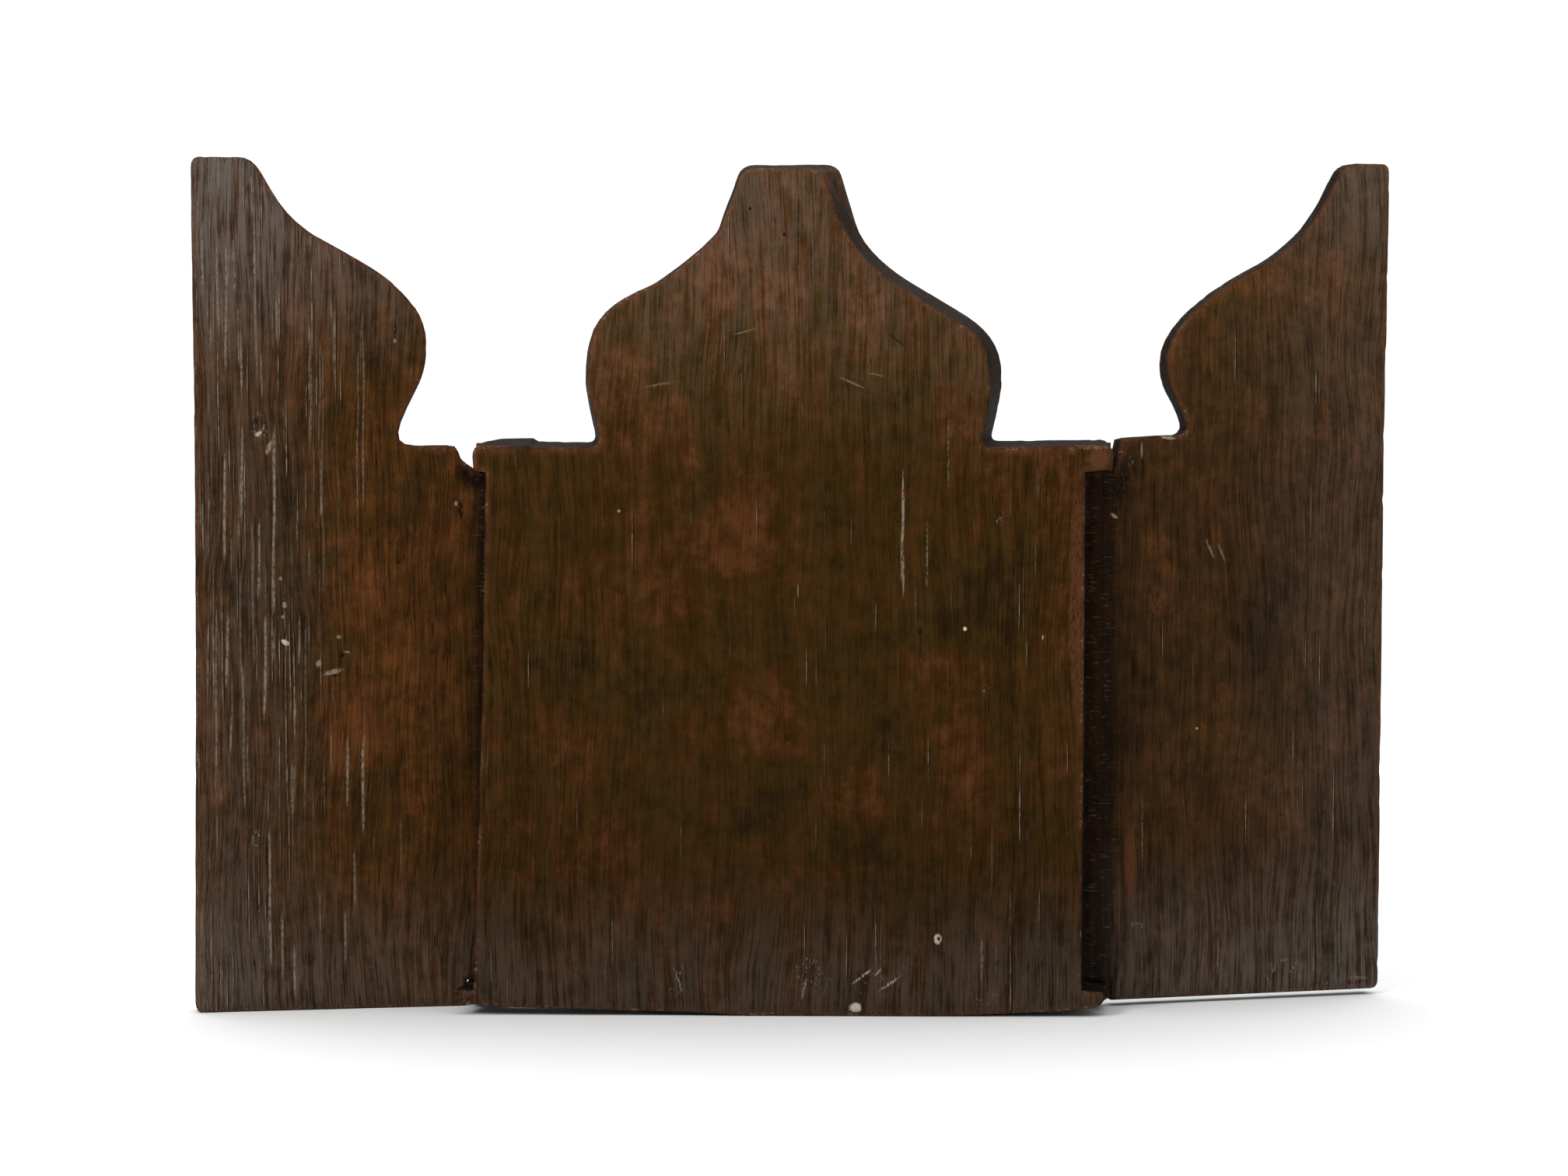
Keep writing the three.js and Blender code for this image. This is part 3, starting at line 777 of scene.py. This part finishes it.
        # grey bloom at the bottom and top, partly painted sheen; painted light: lighter on the
        # dome, darker towards the bottom
        low = ramp(tree, v, 58.0, 0.0, 0.0, 0.17)
        bloom_and_sheen = maths(tree, "ADD", low, ramp(tree, v, 185.0, 300.0, 0.02, 0.28))
        light = maths(tree, "ADD", 0.84, ramp(tree, v, 185.0, 255.0, 0.0, 0.56))
        light = maths(tree, "ADD", light, ramp(tree, v, 130.0, 30.0, 0.0, -0.14))
        grainy = ramp(tree, s, 20.0, 70.0, 0.28, 0.42)
        grainy = maths(tree, "MULTIPLY", grainy, ramp(tree, v, 250.0, 30.0, 0.85, 1.1))
        sides = ramp(tree, maths(tree, "ABSOLUTE", s), 40.0, 85.0, 0.5, 1.0)
        lines = maths(tree, "MAXIMUM", sides, ramp(tree, v, 180.0, 230.0, 0.5, 0.9))
        return bloom_and_sheen, light, grainy, lines

    stain(board, 150, patches)
    material = old_wood("panel wood", board, shades, marks, fields)
    dress(board, "panel", "central_panel", material)


def left_wing():
    board = Board("left_wing", "wing_on_the_left", "left_wing_hinge", 0.52)
    long_streaks = [
        (-101.5, 252, 284, 0.45, 1.0),
        (-105.0, 255, 282, 0.40, 0.8),
        (-96.8, 236, 278, 0.40, 0.9),
        (-93.4, 224, 278, 0.45, 1.0),
        (-91.0, 250, 280, 0.70, 0.7),
        (-99.0, 231, 252, 0.40, 0.9),
        (-88.4, 215, 246, 0.45, 1.0),
        (-83.6, 255, 285, 0.45, 0.9),
        (-75.4, 232, 262, 0.40, 0.8),
        (-81.2, 214, 240, 0.40, 0.9),
        (-64.5, 196, 253, 0.60, 0.6),
        (-94.9, 156, 203, 0.45, 1.0),
        (-88.8, 170, 213, 0.45, 1.0),
        (-77.2, 138, 213, 0.50, 1.0),
        (-82.7, 142, 180, 0.50, 0.8),
        (-102.4, 165, 188, 0.35, 0.8),
        (-64.6, 150, 170, 0.40, 0.8),
        (-80.8, 100, 146, 0.50, 1.0),
        (-94.0, 112, 146, 0.50, 1.0),
        (-92.8, 88, 109, 0.40, 0.9),
        (-68.7, 119, 146, 0.45, 0.8),
        (-70.2, 98, 116, 0.45, 1.0),
        (-52.2, 69, 101, 0.50, 1.0),
        (-46.6, 59, 101, 0.50, 1.0),
        (-57.5, 78, 107, 0.40, 0.7),
        (-71.7, 64, 95, 0.45, 0.8),
        (-96.7, 71, 85, 0.40, 0.9),
        (-101.0, 46, 61, 0.40, 0.8),
        (-79.4, 12, 70, 0.45, 1.0),
        (-85.2, 54, 68, 0.40, 0.8),
        (-75.7, 7, 40, 0.45, 0.9),
        (-70.7, 0, 28, 0.45, 1.0),
        (-52.7, 12, 40, 0.45, 0.9),
        (-42.5, 52, 67, 0.40, 0.7),
        (-33.2, 40, 75, 0.35, 0.7),
    ]
    dents = [
        (-82.3, 209.5, 2.2, 3.4, 0, 0.5),
        (-79.5, 203.0, 1.6, 2.4, 0, 0.4),
        (-56.5, 122.0, 5.0, 1.5, -20, 0.35),
        (-53.4, 126.5, 1.2, 1.2, 0, 0.6),
        (-73.3, 131.5, 1.6, 1.4, 0, 0.4),
        (-83.7, 61.0, 1.8, 4.0, 0, 0.4),
        (-11.5, 183.0, 1.2, 3.0, 0, 0.5),
    ]
    grooves = long_streaks + scattered_grooves(70, -104, -44, 21, 0.7)
    grooves += scattered_grooves(20, -60, -8, 23, 0.3)
    narrow_notch(board, -9.8, -8.35, 9.5)
    wear(board, 200, 1.25, grooves, dents)
    shades = [
        (0.10, (0.0295, 0.0142, 0.0040)),
        (0.36, (0.0470, 0.0212, 0.0050)),
        (0.58, (0.0630, 0.0250, 0.0058)),
        (0.92, (0.1000, 0.0350, 0.0100)),
    ]
    patches = [
        (0.30, (-28, 130), (16, 70), 0),
        (0.20, (-45, 120), (22, 50), 0),
        (-0.25, (-75, 150), (18, 70), 0),
        (-0.20, (-14, 70), (9, 40), 0),
        (0.30, (-98, 80), (7, 60), 0),
        (0.35, (-50, 95), (15, 22), 0),
        (-0.25, (-40, 230), (20, 25), 0),
    ]
    marks = [
        (PALE, 0.7, (-82.0, 208.5), (3.4, 5.4), 0, 0.56),
        (BONE, 0.6, (-82.6, 206.0), (1.6, 0.9), -35, 0.40),
        (GRIME_AND_SHADE, 0.8, (-83.5, 210.5), (1.3, 1.6), 0, 0.44),
        (PALE, 0.7, (-79.0, 201.0), (1.0, 3.0), 20, 0.44),
        (BONE, 0.85, (-73.6, 131.8), (1.9, 1.0), 35, 0.36),
        (PALE, 0.8, (-73.8, 145.2), (0.9, 1.5), 0, 0.36),
        (PALE, 0.6, (-74.4, 141.0), (0.7, 0.8), 0, 0.0),
        (PALE, 0.6, (-75.2, 154.6), (0.8, 0.9), 20, 0.0),
        (PALE, 0.7, (-61.8, 124.2), (1.2, 1.5), 30, 0.36),
        (PALE, 0.75, (-56.6, 121.2), (4.4, 1.0), -14, 0.44),
        (GRIME_AND_SHADE, 0.95, (-53.4, 127.0), (1.0, 0.8), 0, 0.0),
        (GRIME_AND_SHADE, 0.8, (-56.0, 119.8), (1.3, 0.6), 0, 0.0),
        (PALE, 0.6, (-54.6, 133.6), (1.1, 0.8), 0, 0.30),
        (PALE, 0.5, (-51.8, 128.2), (1.3, 0.5), 10, 0.30),
        (COOL, 0.6, (-83.7, 61.0), (2.2, 5.0), 0, 0.57),
        (BONE, 0.5, (-12.6, 181.0), (0.7, 1.0), 0, 0.0),
        (GRIME_AND_SHADE, 0.9, (-11.0, 178.5), (1.0, 4.2), 0, 0.42),
        (GRIME_AND_SHADE, 0.7, (-33.2, 160.0), (0.9, 0.7), 0, 0.0),
        (GRIME_AND_SHADE, 0.7, (-30.0, 142.0), (0.5, 3.4), 0, 0.36),
        (GRIME_AND_SHADE, 0.6, (-21.2, 136.0), (0.6, 4.2), 0, 0.36),
        (GRIME_AND_SHADE, 0.6, (-21.5, 128.0), (0.7, 1.2), 0, 0.0),
        (GRIME_AND_SHADE, 0.8, (-34.0, 242.0), (0.6, 5.0), 0, 0.44),
        # painted shade under the upper lug, in the wing's notch
        (GRIME_AND_SHADE, 0.85, (-6.0, 193.0), (7.5, 8.5), 0, 0.36),
        (PALE, 0.6, (-34.2, 239.0), (0.7, 1.0), 0, 0.30),
    ]

    def fields(tree, s, v):
        # grey bloom at the outer side and both ends, the ends partly painted sheen; painted light:
        # lighter towards the top; darker towards the outer side
        outer = ramp(tree, s, -45.0, -100.0, 0.0, 0.15)
        low = ramp(tree, v, 60.0, 0.0, 0.0, 0.23)
        ends = maths(tree, "ADD", low, ramp(tree, v, 215.0, 300.0, 0.0, 0.48))
        light = maths(tree, "ADD", 0.94, ramp(tree, v, 190.0, 290.0, 0.0, 0.24))
        light = maths(tree, "ADD", light, ramp(tree, s, -30.0, -65.0, 0.0, -0.12))
        streaky = ramp(tree, s, -40.0, -84.0, 0.3, 1.0)
        crowded = maths(tree, "MULTIPLY", streaky, ramp(tree, v, 30.0, 230.0, 0.8, 1.12))
        return maths(tree, "ADD", outer, ends), light, crowded, 1.15

    stain(board, 250, patches)
    material = old_wood("left wing wood", board, shades, marks, fields)
    dress(board, "wing_left", "left_wing", material)


def right_wing():
    board = Board("right_wing", "wing_on_the_right", "right_wing_hinge", 0.56)
    dents = [
        (67.0, 11.0, 2.4, 2.4, 0, 0.25),
        (75.5, 10.5, 1.6, 4.0, 30, 0.25),
        (101.0, 6.0, 5.0, 1.4, 0, 0.25),
        (4.2, 177.0, 2.0, 2.5, 0, 0.5),
        (9.0, 198.0, 4.0, 3.5, 0, 0.4),
    ]
    grooves = scattered_grooves(34, 4, 60, 31, 0.35) + scattered_grooves(20, 60, 106, 33, 0.3)
    wear(board, 300, 0.9, grooves, dents)
    shades = [
        (0.10, (0.0240, 0.0128, 0.0046)),
        (0.36, (0.0350, 0.0175, 0.0058)),
        (0.58, (0.0460, 0.0205, 0.0066)),
        (0.92, (0.0800, 0.0300, 0.0105)),
    ]
    patches = [
        (0.30, (22, 165), (16, 28), 0),
        (0.25, (46, 100), (18, 30), 0),
        (-0.30, (58, 120), (15, 40), 0),
        (-0.25, (70, 150), (15, 25), 0),
        (-0.30, (85, 50), (20, 25), 0),
        (0.30, (95, 160), (12, 60), 0),
        (0.30, (80, 240), (22, 25), 0),
        (-0.20, (28, 40), (15, 25), 0),
    ]
    marks = [
        (RUBBED, 0.75, (12.0, 52.0), (2.6, 15.0), 0, 0.36),
        (RUBBED, 0.5, (22.0, 146.0), (5.0, 6.0), 0, 0.46),
        (COOL, 0.60, (67.1, 11.4), (1.7, 1.9), -30, 0.50),
        (COOL, 0.45, (65.2, 8.0), (0.6, 1.6), -20, 0.48),
        (COOL, 0.40, (71.8, 14.2), (2.0, 0.6), -8, 0.48),
        (COOL, 0.50, (75.6, 11.4), (0.7, 2.8), 36, 0.48),
        (COOL, 0.45, (77.8, 7.8), (0.6, 1.4), 10, 0.48),
        (COOL, 0.35, (88.0, 5.0), (1.4, 0.9), 0, 0.52),
        (PALE, 0.5, (101.0, 6.4), (5.2, 0.6), 2, 0.50),
        (GRIME_AND_SHADE, 0.7, (101.0, 5.0), (5.6, 0.8), 0, 0.44),
        (BONE, 0.75, (5.2, 176.6), (1.7, 0.8), 35, 0.30),
        (COOL, 0.5, (9.5, 196.5), (3.4, 3.8), 30, 0.58),
        # painted shade under the upper lug, by the wing's notch
        (GRIME_AND_SHADE, 0.8, (7.0, 190.0), (5.0, 9.0), 0, 0.44),
        (PALE, 0.6, (15.6, 200.0), (0.5, 3.4), 0, 0.30),
        (BONE, 0.6, (25.5, 204.6), (3.6, 0.9), 8, 0.40),
        (PALE, 0.5, (42.0, 164.5), (0.5, 4.6), -24, 0.36),
        (PALE, 0.45, (46.5, 163.0), (0.5, 4.6), -24, 0.38),
        (BONE, 0.6, (37.4, 99.6), (0.5, 0.5), 0, 0.0),
        (COOL, 0.45, (15.0, 29.0), (3.6, 1.2), 8, 0.54),
        (COOL, 0.35, (25.0, 31.0), (2.6, 3.0), 0, 0.59),
        (PALE, 0.30, (46.0, 17.0), (0.4, 9.0), 0, 0.42),
        (PALE, 0.25, (16.5, 62.0), (0.4, 16.0), 0, 0.46),
    ]

    def fields(tree, s, v):
        # grey bloom at the outer side and both ends, the ends partly painted sheen; painted light:
        # lighter towards the top
        outer = ramp(tree, s, 40.0, 108.0, 0.0, 0.13)
        low = ramp(tree, v, 66.0, 0.0, 0.0, 0.36)
        ends = maths(tree, "ADD", low, ramp(tree, v, 256.0, 303.0, 0.0, 0.22))
        light = maths(tree, "ADD", 1.02, ramp(tree, v, 185.0, 260.0, 0.0, 0.54))
        streaky = ramp(tree, s, 15.0, 100.0, 0.30, 0.50)
        return maths(tree, "ADD", outer, ends), light, streaky, 0.95

    stain(board, 350, patches)
    material = old_wood("right wing wood", board, shades, marks, fields)
    dress(board, "wing_right", "right_wing", material)


central_panel()
left_wing()
right_wing()

# ------------------------------------------------------------------ floor, lights and camera


def plain_material(name, colour, roughness):
    material = bpy.data.materials.new(name)
    material.use_nodes = True
    shader = material.node_tree.nodes["Principled BSDF"]
    shader.inputs["Base Color"].default_value = (*colour, 1)
    shader.inputs["Roughness"].default_value = roughness
    shader.inputs["Specular IOR Level"].default_value = 0.2
    return material


def wide_floor():
    """A white floor divided into rings, wide enough to fill every view."""
    bpy.ops.object.select_all(action="DESELECT")
    bpy.ops.mesh.primitive_circle_add(
        vertices=64, radius=FLOOR_RADIUS, fill_type="NGON", location=(0, 0, 0)
    )
    floor = bpy.context.object
    floor.name = "floor"
    bpy.ops.object.mode_set(mode="EDIT")
    bpy.ops.mesh.select_all(action="SELECT")
    for rim in FLOOR_RINGS:
        bpy.ops.mesh.inset(thickness=rim)
    bpy.ops.object.mode_set(mode="OBJECT")
    floor.data.materials.append(plain_material("white paper", PAPER_WHITE, 0.9))


def softbox(name, place, aim, size, power):
    light = bpy.data.lights.new(name, "AREA")
    light.shape = "RECTANGLE"
    light.size, light.size_y = size
    light.energy = power
    lamp = bpy.data.objects.new(name, light)
    lamp.location = place
    lamp.rotation_euler = (Vector(aim) - Vector(place)).to_track_quat("-Z", "Y").to_euler()
    bpy.context.scene.collection.objects.link(lamp)


def overhead_light():
    """Even light from the whole ceiling. It leans, so the soft shadow falls towards the camera."""
    light = bpy.data.lights.new("ceiling light", "SUN")
    light.energy = CEILING_POWER
    light.angle = math.radians(CEILING_SPREAD)
    lamp = bpy.data.objects.new("ceiling light", light)
    lamp.rotation_euler = (math.radians(CEILING_LEAN), 0, 0)
    bpy.context.scene.collection.objects.link(lamp)


def studio():
    """A white world that the camera sees brighter than it shines on things, and two lights."""
    world = bpy.data.worlds.new("studio")
    world.use_nodes = True
    tree = world.node_tree
    seen = node(tree, "ShaderNodeLightPath").outputs["Is Camera Ray"]
    background = tree.nodes["Background"]
    background.inputs["Color"].default_value = (1, 1, 1, 1)
    strength = ramp(tree, seen, 0.0, 1.0, WORLD_ON_OBJECTS, WORLD_SEEN)
    tree.links.new(strength, background.inputs["Strength"])
    bpy.context.scene.world = world
    overhead_light()
    softbox("key softbox", (-1.3, -1.5, 1.5), (0, 0, 0.15), (0.7, 0.7), KEY_POWER)
    bpy.context.scene.view_settings.view_transform = "Standard"


def camera():
    lens = bpy.data.cameras.new("camera")
    lens.lens = CAMERA_LENS
    lens.sensor_width = CAMERA_SENSOR
    lens.clip_end = CAMERA_REACH
    eye = bpy.data.objects.new("camera", lens)
    eye.location = CAMERA_PLACE
    eye.rotation_euler = (math.radians(90 - CAMERA_PITCH), 0, math.radians(CAMERA_TURN))
    bpy.context.scene.collection.objects.link(eye)
    bpy.context.scene.camera = eye


wide_floor()
studio()
camera()
